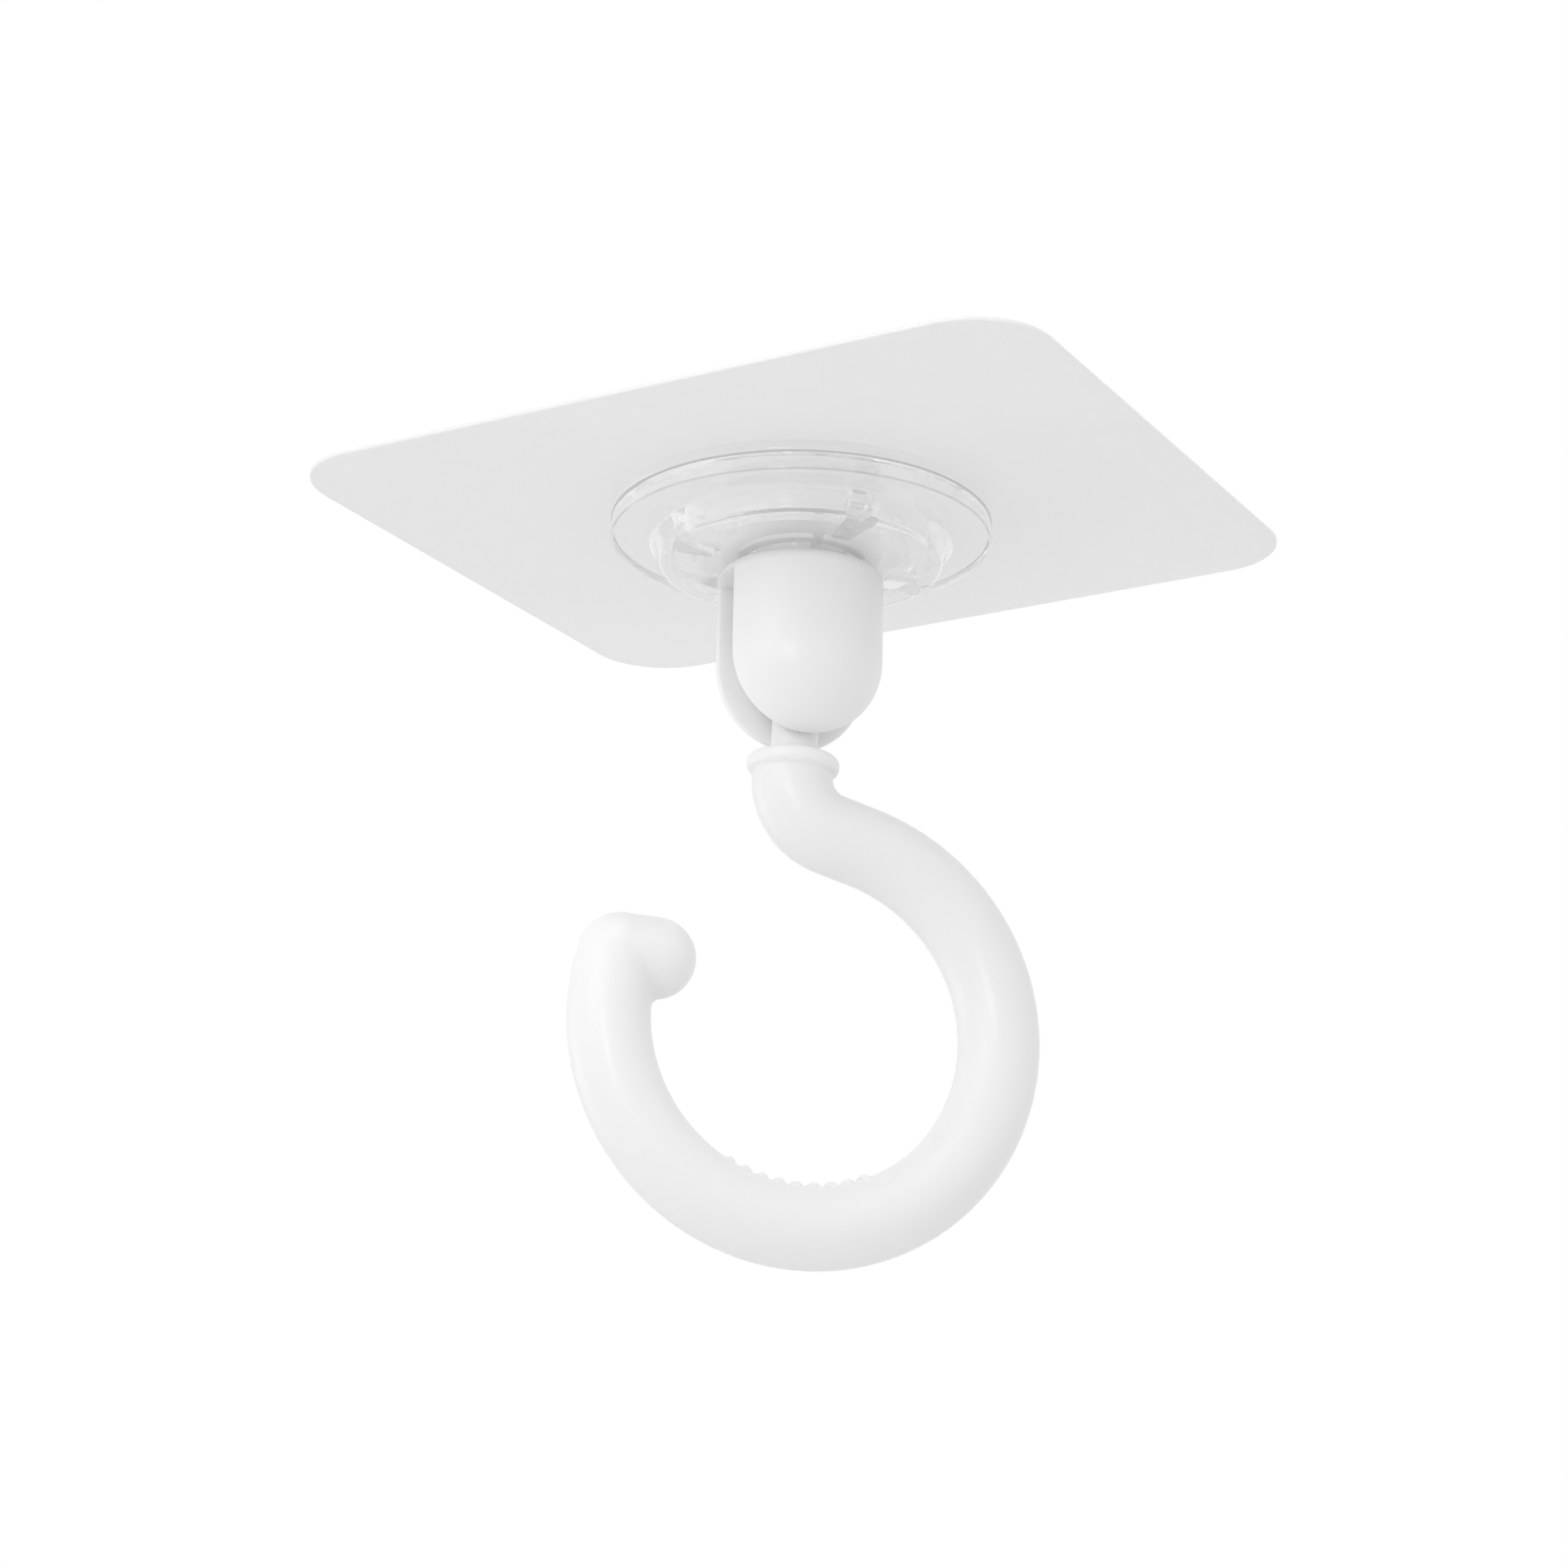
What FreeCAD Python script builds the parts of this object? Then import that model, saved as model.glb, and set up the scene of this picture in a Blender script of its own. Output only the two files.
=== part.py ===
import FreeCAD, Part
import math
import os
import Sketcher

# Ceiling hook that hangs from a clear adhesive sheet. A clear base disc is bonded under the sheet,
# a clear cover disc locks onto it with a bayonet, and the cover carries a white yoke that turns all
# the way round. A white open-ring hook hangs in the yoke's slot and swings in the slot's plane.
# Origin: the middle of the sheet's upper, adhesive face. +Z points up into the ceiling, X runs along
# the sheet's long side. Lengths are in millimetres and angles in degrees.

SIZES = {
    # adhesive sheet
    "film_length": 90.0,
    "film_width": 76.0,
    "film_corner": 9.0,
    "film_thickness": 0.5,
    # base disc with the hub and lugs of the bayonet
    "base_radius": 21.6,
    "base_thickness": 1.25,
    "hub_wall": 1.3,
    "hub_depth": 3.15,
    "lug_reach": 2.1,
    "lug_thickness": 1.25,
    "lug_angle": 11.0,
    # cover disc with the boss that the yoke turns in
    "cover_inset": 0.2,
    "cover_thickness": 2.2,
    "rim_width": 4.4,
    "boss_draft": 1.2,
    "boss_wall": 1.1,
    "boss_depth": 3.05,
    "boss_floor": 1.4,
    "bayonet_gap": 2.3,
    "window_length": 5.6,
    "window_angle": 13.5,
    "bayonet_count": 4,
    "bayonet_clearance": 0.15,
    "bayonet_angle": -22.5,
    # yoke
    "yoke_radius": 9.35,
    "shoulder_depth": 0.75,
    "stem_radius": 6.25,
    "stem_bore": 2.6,
    "flange_reach": 1.05,
    "flange_thickness": 1.3,
    "stem_split": 1.2,
    "dome_height": 9.9,
    "slot_width": 6.4,
    "slot_roof": 1.3,
    "pivot_depth": 18.5,
    "running_clearance": 0.08,
    "flange_clearance": 0.15,
    # hook, measured from its pivot
    "trunnion_radius": 2.2,
    "trunnion_length": 1.9,
    "socket_spare": 0.15,
    "eye_radius": 5.6,
    "eye_clearance": 0.3,
    "neck_radius": 2.6,
    "collar_radius": 5.15,
    "collar_rim": 0.95,
    "collar_drop": 11.93,
    "bar_radius": 4.5,
    "shank_drop": 13.35,
    "shank_bend_radius": 6.12,
    "cross_slope": 13.54,
    "cross_length": 3.8,
    "ring_radius": 21.91,
    "tip_rise": 14.7,
    "nub_length": 3.9,
    "nub_slimming": 0.05,
    "grip_pitch": 6.34,
    "grip_count": 9,
    "grip_centre": 0.9,
    "grip_bead": 0.65,
    "grip_ring": 2.35,
    "grip_shift": 2.0,
    # small roundings
    "collar_rounding": 0.85,
    "collar_blend": 0.35,
    "neck_blend": 0.7,
    "disc_rounding": 0.4,
    "rim_rounding": 0.7,
    "boss_rounding": 0.5,
    "shoulder_rounding": 1.5,
    "slot_rounding": 0.35,
    "nub_rounding": 1.5,
    # how far cuts run past the surface they leave through
    "cut_margin": 1.0,
    # how the parts stand in the stored pose
    "swivel_angle": 45.0,
    "hang_angle": 2.46,
}

# Radii of the discs, each from the one outside it
COVER_RADIUS = "(Sizes.base_radius - Sizes.cover_inset)"
BOSS_ROOT_RADIUS = f"({COVER_RADIUS} - Sizes.rim_width)"
BOSS_FACE_RADIUS = f"({BOSS_ROOT_RADIUS} - Sizes.boss_draft)"
CAVITY_RADIUS = f"({BOSS_FACE_RADIUS} - Sizes.boss_wall)"
HUB_RADIUS = f"({CAVITY_RADIUS} - Sizes.bayonet_gap)"

# Heights below the ceiling, as expressions of the sheet
FILM_UNDER = "Sizes.film_thickness"
BASE_UNDER = f"({FILM_UNDER} + Sizes.base_thickness)"
HUB_END = f"({BASE_UNDER} + Sizes.hub_depth)"
LUG_TOP = f"({HUB_END} - Sizes.lug_thickness)"
COVER_UNDER = f"({BASE_UNDER} + Sizes.cover_thickness)"
BOSS_FACE = f"({COVER_UNDER} + Sizes.boss_depth)"
FLOOR_TOP = f"({BOSS_FACE} - Sizes.boss_floor)"
FLANGE_UNDER = f"({FLOOR_TOP} - Sizes.flange_clearance)"
FLANGE_TOP = f"({FLANGE_UNDER} - Sizes.flange_thickness)"
SHOULDER = f"({BOSS_FACE} + Sizes.shoulder_depth)"
ROOF = f"({SHOULDER} + Sizes.slot_roof)"

# The hook's eye in the slot, and the length over both trunnions
EYE_THICKNESS = "(Sizes.slot_width - 2 * Sizes.eye_clearance)"
TRUNNION_SPAN = f"({EYE_THICKNESS} + 2 * Sizes.trunnion_length)"

# Centre of the hook's ring and rise of its tip, from the hook's pivot
SLOPE = "Sizes.cross_slope * 1 deg"
TIP_ANGLE = "Sizes.tip_rise * 1 deg"
BEND_ACROSS = f"Sizes.shank_bend_radius * (1 - sin({SLOPE}))"
RUN_ACROSS = f"Sizes.cross_length * cos({SLOPE})"
RING_ACROSS = f"({BEND_ACROSS} + {RUN_ACROSS} - Sizes.ring_radius * sin({SLOPE}))"
BEND_AND_RING_DEPTH = f"(Sizes.shank_bend_radius + Sizes.ring_radius) * cos({SLOPE})"
RING_DEPTH = f"(Sizes.shank_drop + {BEND_AND_RING_DEPTH} + Sizes.cross_length * sin({SLOPE}))"
TIP_RISE = f"Sizes.ring_radius * sin({TIP_ANGLE})"

FULL_TURN = 360
TINY = 1e-4

doc = FreeCAD.newDocument("CeilingHook")


def write_sheet():
    """Driving dimensions in a spreadsheet, one aliased cell for each."""
    sheet = doc.addObject("Spreadsheet::Sheet", "Sizes")
    for row, (name, value) in enumerate(SIZES.items(), start=1):
        sheet.set(f"A{row}", name)
        sheet.set(f"B{row}", str(value))
        sheet.setAlias(f"B{row}", name)
    doc.recompute()


def origin_feature(body, role):
    """The body's own origin plane or axis."""
    for feature in body.Origin.OriginFeatures:
        if feature.Role == role:
            return feature
    raise ValueError(f"no origin feature {role}")


def new_body(name):
    body = doc.addObject("PartDesign::Body", name)
    body.Label = name
    return body


def new_sketch(body, name, role):
    sketch = body.newObject("Sketcher::SketchObject", name)
    sketch.AttachmentSupport = [(origin_feature(body, role), "")]
    sketch.MapMode = "FlatFace"
    return sketch


def bind(item, **expressions):
    """Tie properties to expressions of the sheet."""
    for name, expression in expressions.items():
        item.setExpression(name, expression)


def dimension(sketch, name, expression, *constraint):
    """A named dimension of a sketch, tied to the sheet."""
    index = sketch.addConstraint(Sketcher.Constraint(*constraint))
    sketch.renameConstraint(index, name)
    sketch.setExpression(f"Constraints.{name}", expression)


def place_point(sketch, geometry, point, across, up):
    """Hold one point of a sketch at its two coordinates; zero means on the axis."""
    vertex = sketch.getPoint(geometry, point)
    for kind, axis, start, expression in (
        ("DistanceX", -2, vertex.x, across),
        ("DistanceY", -1, vertex.y, up),
    ):
        if expression == "0":
            sketch.addConstraint(Sketcher.Constraint("PointOnObject", geometry, point, axis))
        else:
            name = f"{kind}_{geometry}_{point}"
            dimension(sketch, name, expression, kind, -1, 1, geometry, point, start)


def outline(sketch, corners):
    """Closed outline of straight edges; each corner is a pair of expressions."""
    count = len(corners)
    turns = [2 * math.pi * number / count for number in range(count)]
    start = [FreeCAD.Vector(math.cos(turn) + 2, math.sin(turn) - 2, 0) for turn in turns]
    for number in range(count):
        sketch.addGeometry(Part.LineSegment(start[number], start[(number + 1) % count]), False)
    for number in range(count):
        following = (number + 1) % count
        sketch.addConstraint(Sketcher.Constraint("Coincident", number, 2, following, 1))
    for number, (across, up) in enumerate(corners):
        place_point(sketch, number, 1, across, up)


def revolve(body, kind, name, sketch, angle=None):
    """Revolution or groove about the sketch's vertical axis, centred on the sketch if not a full turn."""
    feature = body.newObject(kind, name)
    feature.Profile = sketch
    feature.ReferenceAxis = (sketch, ["V_Axis"])
    if angle is None:
        feature.Angle = FULL_TURN
    else:
        feature.Midplane = True
        bind(feature, Angle=angle)
    sketch.Visibility = False
    return feature


def extrude(body, kind, name, sketch, length=None):
    """Pad or pocket to both sides of its sketch; a pocket with no length goes right through."""
    feature = body.newObject(kind, name)
    feature.Profile = sketch
    feature.SideType = "Symmetric"
    if length is None:
        feature.Type = "ThroughAll"
    else:
        bind(feature, Length=length)
    return feature


def bayonet_pattern(body, name, feature, sketch):
    """Copies of a feature, evenly spread round the body's vertical axis, one for each bayonet lug."""
    copies = body.newObject("PartDesign::PolarPattern", name)
    copies.Originals = [feature]
    copies.Axis = (sketch, ["V_Axis"])
    copies.Angle = FULL_TURN
    bind(copies, Occurrences="Sizes.bayonet_count")
    body.Tip = copies
    return copies


def round_edges(body, name, edges, radius):
    """Fillet on edges of the body's tip."""
    rounded = body.Tip
    fillet = body.newObject("PartDesign::Fillet", name)
    fillet.Base = (rounded, edges)
    bind(fillet, Radius=radius)
    body.Tip = fillet
    return fillet


def turn(body, angle):
    """Turn a body about the vertical axis."""
    body.Placement.Rotation = FreeCAD.Rotation(FreeCAD.Vector(0, 0, 1), 1)
    body.setExpression(".Placement.Rotation.Angle", f"{angle} * 1 deg")


def measured(expression):
    """Value of an expression of the sheet."""
    return float(doc.Sizes.evalExpression(expression))


def rims(shape, radius, end=None):
    """Names of the circular edges of one radius: all of them, or only the lowest or highest."""
    found = []
    for number, edge in enumerate(shape.Edges, start=1):
        if edge.Degenerated or not isinstance(edge.Curve, Part.Circle):
            continue
        if abs(edge.Curve.Radius - radius) < TINY:
            found.append((edge.Curve.Center.z, f"Edge{number}"))
    if end == "lowest":
        found = [min(found)]
    if end == "highest":
        found = [max(found)]
    return [name for height, name in found]


# Adhesive sheet: a thin flat film with round corners, its sticky face up
def make_adhesive_sheet():
    body = new_body("adhesive_sheet")
    sketch = new_sketch(body, "sheet_outline", "XY_Plane")
    half_length = "Sizes.film_length / 2"
    half_width = "Sizes.film_width / 2"
    outline(sketch, [
        (f"-{half_length}", f"-{half_width}"),
        (half_length, f"-{half_width}"),
        (half_length, half_width),
        (f"-{half_length}", half_width),
    ])
    pad = body.newObject("PartDesign::Pad", "sheet_film")
    pad.Profile = sketch
    pad.Reversed = True
    bind(pad, Length=FILM_UNDER)
    doc.recompute()
    corners = []
    for number, edge in enumerate(pad.Shape.Edges, start=1):
        if abs(edge.tangentAt(edge.FirstParameter).z) > 0.99:
            corners.append(f"Edge{number}")
    round_edges(body, "sheet_corners", corners, "Sizes.film_corner")
    return body


# Base disc: a plate bonded under the film, with a hub whose lugs hold up the cover
def make_base_disc():
    body = new_body("base_disc")
    section = new_sketch(body, "base_section", "XZ_Plane")
    hub_inside = f"{HUB_RADIUS} - Sizes.hub_wall"
    outline(section, [
        ("0", f"-{FILM_UNDER}"),
        ("Sizes.base_radius", f"-{FILM_UNDER}"),
        ("Sizes.base_radius", f"-{BASE_UNDER}"),
        (HUB_RADIUS, f"-{BASE_UNDER}"),
        (HUB_RADIUS, f"-{HUB_END}"),
        (hub_inside, f"-{HUB_END}"),
        (hub_inside, f"-{BASE_UNDER}"),
        ("0", f"-{BASE_UNDER}"),
    ])
    plate = revolve(body, "PartDesign::Revolution", "base_plate", section)
    doc.recompute()
    edges = rims(plate.Shape, SIZES["base_radius"])
    round_edges(body, "base_rim", edges, "Sizes.disc_rounding")
    lug_section = new_sketch(body, "lug_section", "XZ_Plane")
    lug_root = f"{HUB_RADIUS} - Sizes.hub_wall / 2"
    lug_tip = f"{HUB_RADIUS} + Sizes.lug_reach"
    outline(lug_section, [
        (lug_root, f"-{LUG_TOP}"),
        (lug_tip, f"-{LUG_TOP}"),
        (lug_tip, f"-{HUB_END}"),
        (lug_root, f"-{HUB_END}"),
    ])
    lug = revolve(body, "PartDesign::Revolution", "lug", lug_section, "Sizes.lug_angle")
    bayonet_pattern(body, "lugs", lug, lug_section)
    turn(body, "Sizes.bayonet_angle")
    return body


# Cover disc: rim plate and tapered boss, with ledges that hang on the lugs and a window under each
def make_cover_disc():
    body = new_body("cover_disc")
    section = new_sketch(body, "cover_section", "XZ_Plane")
    bore = "Sizes.stem_radius + Sizes.running_clearance"
    outline(section, [
        (CAVITY_RADIUS, f"-{BASE_UNDER}"),
        (COVER_RADIUS, f"-{BASE_UNDER}"),
        (COVER_RADIUS, f"-{COVER_UNDER}"),
        (BOSS_ROOT_RADIUS, f"-{COVER_UNDER}"),
        (BOSS_FACE_RADIUS, f"-{BOSS_FACE}"),
        (bore, f"-{BOSS_FACE}"),
        (bore, f"-{FLOOR_TOP}"),
        (CAVITY_RADIUS, f"-{FLOOR_TOP}"),
    ])
    plate = revolve(body, "PartDesign::Revolution", "cover_plate", section)
    doc.recompute()
    edges = rims(plate.Shape, measured(COVER_RADIUS), "lowest")
    round_edges(body, "cover_rim", edges, "Sizes.rim_rounding")
    doc.recompute()
    edges = rims(body.Tip.Shape, measured(COVER_RADIUS), "highest")
    round_edges(body, "cover_top_rim", edges, "Sizes.disc_rounding")
    doc.recompute()
    face_rim = rims(body.Tip.Shape, measured(BOSS_FACE_RADIUS))
    root_rim = rims(body.Tip.Shape, measured(BOSS_ROOT_RADIUS))
    round_edges(body, "boss_rims", face_rim + root_rim, "Sizes.boss_rounding")
    ledge_section = new_sketch(body, "ledge_section", "XZ_Plane")
    ledge_tip = f"{HUB_RADIUS} + Sizes.bayonet_clearance"
    ledge_root = f"{BOSS_FACE_RADIUS} - Sizes.boss_wall / 2"
    ledge_top = f"({LUG_TOP} - Sizes.lug_thickness)"
    outline(ledge_section, [
        (ledge_tip, f"-{ledge_top}"),
        (ledge_root, f"-{ledge_top}"),
        (ledge_root, f"-{LUG_TOP}"),
        (ledge_tip, f"-{LUG_TOP}"),
    ])
    ledge = revolve(body, "PartDesign::Revolution", "ledge", ledge_section, "Sizes.lug_angle")
    bayonet_pattern(body, "ledges", ledge, ledge_section)
    window_section = new_sketch(body, "window_section", "XZ_Plane")
    window_inside = f"{BOSS_FACE_RADIUS} - Sizes.window_length"
    window_outside = f"{BOSS_ROOT_RADIUS} + Sizes.cut_margin"
    window_top = f"-({COVER_UNDER} + Sizes.boss_rounding)"
    window_end = f"-({BOSS_FACE} + Sizes.cut_margin)"
    outline(window_section, [
        (window_inside, window_top),
        (window_outside, window_top),
        (window_outside, window_end),
        (window_inside, window_end),
    ])
    window = revolve(body, "PartDesign::Groove", "window", window_section, "Sizes.window_angle")
    bayonet_pattern(body, "windows", window, window_section)
    turn(body, "Sizes.bayonet_angle")
    return body


# Yoke: domed clevis with a split, flanged stem that snaps through the cover and turns in it
def make_yoke():
    body = new_body("yoke")
    section = new_sketch(body, "yoke_section", "XZ_Plane")
    flange = "Sizes.stem_radius + Sizes.flange_reach"
    lead = f"({FLANGE_UNDER} - Sizes.flange_thickness / 2)"
    outline(section, [
        ("0", f"-{FLANGE_TOP}"),
        ("Sizes.stem_radius", f"-{FLANGE_TOP}"),
        (flange, f"-{lead}"),
        (flange, f"-{FLANGE_UNDER}"),
        ("Sizes.stem_radius", f"-{FLANGE_UNDER}"),
        ("Sizes.stem_radius", f"-{SHOULDER}"),
        ("Sizes.yoke_radius", f"-{SHOULDER}"),
        ("Sizes.yoke_radius", "-Sizes.pivot_depth"),
        ("0", "-Sizes.pivot_depth"),
    ])
    barrel = revolve(body, "PartDesign::Revolution", "yoke_barrel", section)
    doc.recompute()
    edges = rims(barrel.Shape, SIZES["yoke_radius"], "highest")
    round_edges(body, "yoke_shoulder", edges, "Sizes.shoulder_rounding")
    dome = body.newObject("PartDesign::AdditiveEllipsoid", "yoke_dome")
    dome.AttachmentSupport = [(origin_feature(body, "XY_Plane"), "")]
    dome.MapMode = "FlatFace"
    bind(dome, Radius1="Sizes.dome_height", Radius2="Sizes.yoke_radius", Radius3="Sizes.yoke_radius")
    dome.setExpression(".AttachmentOffset.Base.z", "-Sizes.pivot_depth")
    dome.Angle1 = -FULL_TURN / 4
    dome.Angle2 = 0
    dome.Angle3 = FULL_TURN
    slot_sketch = new_sketch(body, "slot_outline", "YZ_Plane")
    slot_mouth = "-(Sizes.pivot_depth + Sizes.dome_height + Sizes.cut_margin)"
    outline(slot_sketch, [
        ("-Sizes.slot_width / 2", f"-{ROOF}"),
        ("Sizes.slot_width / 2", f"-{ROOF}"),
        ("Sizes.slot_width / 2", slot_mouth),
        ("-Sizes.slot_width / 2", slot_mouth),
    ])
    slot = extrude(body, "PartDesign::Pocket", "slot", slot_sketch)
    doc.recompute()
    edges = cheek_edges(slot.Shape)
    round_edges(body, "cheek_rims", edges, "Sizes.slot_rounding")
    socket_sketch = new_sketch(body, "socket_outline", "XZ_Plane")
    circle(socket_sketch, "Sizes.trunnion_radius + Sizes.running_clearance", "-Sizes.pivot_depth")
    extrude(body, "PartDesign::Pocket", "sockets", socket_sketch, f"{TRUNNION_SPAN} + 2 * Sizes.socket_spare")
    bore_sketch = new_sketch(body, "stem_bore_outline", "XZ_Plane")
    stem_opening = f"-({FLANGE_TOP} - Sizes.cut_margin)"
    outline(bore_sketch, [
        ("0", stem_opening),
        ("Sizes.stem_bore", stem_opening),
        ("Sizes.stem_bore", f"-{SHOULDER}"),
        ("0", f"-{SHOULDER}"),
    ])
    revolve(body, "PartDesign::Groove", "stem_bore", bore_sketch)
    for name, role in (("split_along", "YZ_Plane"), ("split_across", "XZ_Plane")):
        split_sketch = new_sketch(body, f"{name}_outline", role)
        outline(split_sketch, [
            ("-Sizes.stem_split / 2", stem_opening),
            ("Sizes.stem_split / 2", stem_opening),
            ("Sizes.stem_split / 2", f"-{BOSS_FACE}"),
            ("-Sizes.stem_split / 2", f"-{BOSS_FACE}"),
        ])
        extrude(body, "PartDesign::Pocket", name, split_sketch)
    turn(body, "Sizes.swivel_angle")
    return body


def cheek_edges(shape):
    """Outer edges of the two slot walls: they lie in the walls' planes and not in the slot's roof."""
    half = SIZES["slot_width"] / 2
    roof = max(vertex.Z for vertex in shape.Vertexes if abs(abs(vertex.Y) - half) < TINY)
    names = []
    for number, edge in enumerate(shape.Edges, start=1):
        ends_on_wall = all(abs(abs(vertex.Y) - half) < TINY for vertex in edge.Vertexes)
        middle = edge.valueAt((edge.FirstParameter + edge.LastParameter) / 2)
        if ends_on_wall and abs(abs(middle.y) - half) < TINY and middle.z < roof - TINY:
            names.append(f"Edge{number}")
    return names


def circle(sketch, radius, up):
    """Circle on the sketch's vertical axis."""
    start = measured(radius)
    sketch.addGeometry(Part.Circle(FreeCAD.Vector(0, -start, 0), FreeCAD.Vector(0, 0, 1), start), False)
    place_point(sketch, 0, 3, "0", up)
    dimension(sketch, "radius", radius, "Radius", 0, start)


def draw_hook_path(sketch):
    """Centreline of the hook below its collar: shank, bend, cross run and open ring."""
    slope = math.radians(SIZES["cross_slope"])
    bend = SIZES["shank_bend_radius"]
    ring = SIZES["ring_radius"]
    normal = FreeCAD.Vector(0, 0, 1)
    outwards = FreeCAD.Vector(math.sin(slope), math.cos(slope), 0)
    shank_top = FreeCAD.Vector(0, -SIZES["collar_drop"], 0)
    shank_end = FreeCAD.Vector(0, -SIZES["shank_drop"], 0)
    bend_centre = shank_end + FreeCAD.Vector(bend, 0, 0)
    bend_end = bend_centre - outwards * bend
    ring_start = bend_end + FreeCAD.Vector(math.cos(slope), -math.sin(slope), 0) * SIZES["cross_length"]
    ring_circle = Part.Circle(ring_start - outwards * ring, normal, ring)
    tip_angle = math.pi - math.radians(SIZES["tip_rise"])
    shank, first_bend, cross_run, open_ring = range(4)
    sketch.addGeometry(Part.LineSegment(shank_top, shank_end), False)
    bend_circle = Part.Circle(bend_centre, normal, bend)
    sketch.addGeometry(Part.ArcOfCircle(bend_circle, math.pi, 1.5 * math.pi - slope), False)
    sketch.addGeometry(Part.LineSegment(bend_end, ring_start), False)
    sketch.addGeometry(Part.ArcOfCircle(ring_circle, tip_angle, 2.5 * math.pi - slope), False)
    place_point(sketch, shank, 1, "0", "-Sizes.collar_drop")
    place_point(sketch, shank, 2, "0", "-Sizes.shank_drop")
    sketch.addConstraint(Sketcher.Constraint("Tangent", shank, 2, first_bend, 1))
    sketch.addConstraint(Sketcher.Constraint("Tangent", first_bend, 2, cross_run, 1))
    sketch.addConstraint(Sketcher.Constraint("Tangent", cross_run, 2, open_ring, 2))
    dimension(sketch, "bend_radius", "Sizes.shank_bend_radius", "Radius", first_bend, bend)
    dimension(sketch, "ring_radius", "Sizes.ring_radius", "Radius", open_ring, ring)
    dimension(sketch, "run_length", "Sizes.cross_length", "Distance", cross_run, SIZES["cross_length"])
    dimension(sketch, "run_slope", "-Sizes.cross_slope * 1 deg", "Angle", cross_run, -slope)
    rise = ring * math.sin(math.radians(SIZES["tip_rise"]))
    dimension(sketch, "tip_rise", TIP_RISE, "DistanceY", open_ring, 3, open_ring, 1, rise)


def draw_nub(sketch):
    """Half outline of the nub about its own axis: a ball as wide as the bar and a slimmer round nose."""
    back = SIZES["bar_radius"]
    nose = back - SIZES["nub_slimming"]
    length = SIZES["nub_length"]
    normal = FreeCAD.Vector(0, 0, 1)
    centre = FreeCAD.Vector(0, 0, 0)
    nose_centre = FreeCAD.Vector(length, 0, 0)
    shoulder = math.asin(nose / back)
    shoulder_point = FreeCAD.Vector(back * math.cos(shoulder), nose, 0)
    back_arc, side, nose_arc, axis = range(4)
    sketch.addGeometry(Part.ArcOfCircle(Part.Circle(centre, normal, back), shoulder, math.pi), False)
    sketch.addGeometry(Part.LineSegment(shoulder_point, FreeCAD.Vector(length, nose, 0)), False)
    sketch.addGeometry(Part.ArcOfCircle(Part.Circle(nose_centre, normal, nose), 0, math.pi / 2), False)
    tip = FreeCAD.Vector(length + nose, 0, 0)
    sketch.addGeometry(Part.LineSegment(tip, FreeCAD.Vector(-back, 0, 0)), False)
    for first, first_end, second, second_end in (
        (back_arc, 1, side, 1),
        (side, 2, nose_arc, 2),
        (nose_arc, 1, axis, 1),
        (axis, 2, back_arc, 2),
    ):
        sketch.addConstraint(Sketcher.Constraint("Coincident", first, first_end, second, second_end))
    sketch.addConstraint(Sketcher.Constraint("Coincident", back_arc, 3, -1, 1))
    sketch.addConstraint(Sketcher.Constraint("Horizontal", side))
    place_point(sketch, nose_arc, 3, "Sizes.nub_length", "0")
    sketch.addConstraint(Sketcher.Constraint("Vertical", nose_arc, 3, side, 2))
    sketch.addConstraint(Sketcher.Constraint("PointOnObject", axis, 1, -1))
    sketch.addConstraint(Sketcher.Constraint("PointOnObject", axis, 2, -1))
    dimension(sketch, "back_radius", "Sizes.bar_radius", "Radius", back_arc, back)
    dimension(sketch, "nose_radius", "Sizes.bar_radius - Sizes.nub_slimming", "Radius", nose_arc, nose)


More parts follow.
